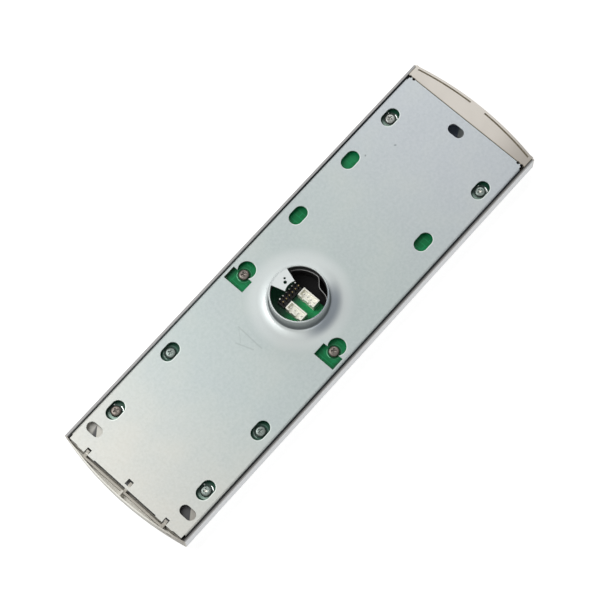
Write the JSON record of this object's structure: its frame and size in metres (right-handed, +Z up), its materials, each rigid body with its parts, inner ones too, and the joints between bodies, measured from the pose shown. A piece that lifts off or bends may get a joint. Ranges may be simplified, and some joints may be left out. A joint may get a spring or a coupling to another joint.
{
  "type": "elevator call button panel",
  "caption": "Slim wall-mounted lift landing panel: arched extruded cover, sprung call buttons and dot display in front, galvanised wall plate with a drawn cable collar behind.",
  "frame": {"origin": "centre of the cable collar on the wall plane, which is the wall plate's rear face", "axes": "+Z up along the panel's length, +Y out of the panel's back into the wall, +X to the right as seen from the front"},
  "size_m": [0.09, 0.0276, 0.3043],
  "materials": {
    "zinc": "galvanised sheet, mottled zinc",
    "liner_film": "thin black insulating film",
    "cover_anodised": "satin anodised extrusion",
    "cap_plastic": "warm light grey moulding",
    "inlay_steel": "long-grain brushed stainless sheet",
    "smoked_acrylic": "smoked acrylic, polished",
    "board_green": "green solder mask over glass laminate",
    "led_module": "black display housing with pale dots",
    "chip_epoxy": "moulded epoxy",
    "baffle_black": "black moulding",
    "header_black": "black moulded pin block",
    "pin_brass": "plated square pins",
    "header_white": "cream white nylon",
    "pin_tin": "tinned square pins",
    "screw_steel": "zinc plated pan-head screws",
    "led_lens": "small light-emitting diodes",
    "halo_clear": "frosted light guide",
    "button_steel": "dished brushed steel",
    "carrier_grey": "dark grey moulding",
    "spring_wire": "bright spring wire",
    "switch_black": "black switch housing",
    "plunger_white": "white acetal plunger"
  },
  "bodies": {
    "panel": {"back_plate": "zinc", "collar_liner": "liner_film", "cover_profile": "cover_anodised", "top_cap": "cap_plastic", "bottom_cap": "cap_plastic", "front_inlay": "inlay_steel", "display_window": "smoked_acrylic", "display_board": "board_green", "led_module_left": "led_module", "led_module_right": "led_module", "driver_chips": "chip_epoxy", "light_baffle": "baffle_black", "button_board": "board_green", "controller_chip": "chip_epoxy", "link_header": "header_black", "link_pins": "pin_brass", "bus_header_upper": "header_white", "bus_header_lower": "header_white", "bus_pins": "pin_tin", "board_screws": "screw_steel", "call_leds": "led_lens", "up_halo_ring": "halo_clear", "up_guide_cup": "baffle_black", "up_return_spring": "spring_wire", "up_switch_body": "switch_black", "down_halo_ring": "halo_clear", "down_guide_cup": "baffle_black", "down_return_spring": "spring_wire", "down_switch_body": "switch_black"},
    "up_button": {"up_button_face": "button_steel", "up_button_carrier": "carrier_grey"},
    "up_plunger": {"up_switch_plunger": "plunger_white"},
    "down_button": {"down_button_face": "button_steel", "down_button_carrier": "carrier_grey"},
    "down_plunger": {"down_switch_plunger": "plunger_white"}
  },
  "joints": [
    {"name": "up_press", "type": "slide", "parent": "panel", "child": "up_button", "axis": [0, 1, 0], "range_m": [0, 0.001], "stiffness_N_per_m": 400, "springref_m": -0.005, "deforming": ["up_return_spring"]},
    {"name": "up_switch", "type": "slide", "parent": "panel", "child": "up_plunger", "axis": [0, 1, 0], "range_m": [0, 0.001]},
    {"name": "down_press", "type": "slide", "parent": "panel", "child": "down_button", "axis": [0, 1, 0], "range_m": [0, 0.001], "stiffness_N_per_m": 400, "springref_m": -0.005, "deforming": ["down_return_spring"]},
    {"name": "down_switch", "type": "slide", "parent": "panel", "child": "down_plunger", "axis": [0, 1, 0], "range_m": [0, 0.001]}
  ],
  "couplings": [
    {"joint": "up_switch", "follows": "up_press", "ratio": 1},
    {"joint": "down_switch", "follows": "down_press", "ratio": 1}
  ]
}
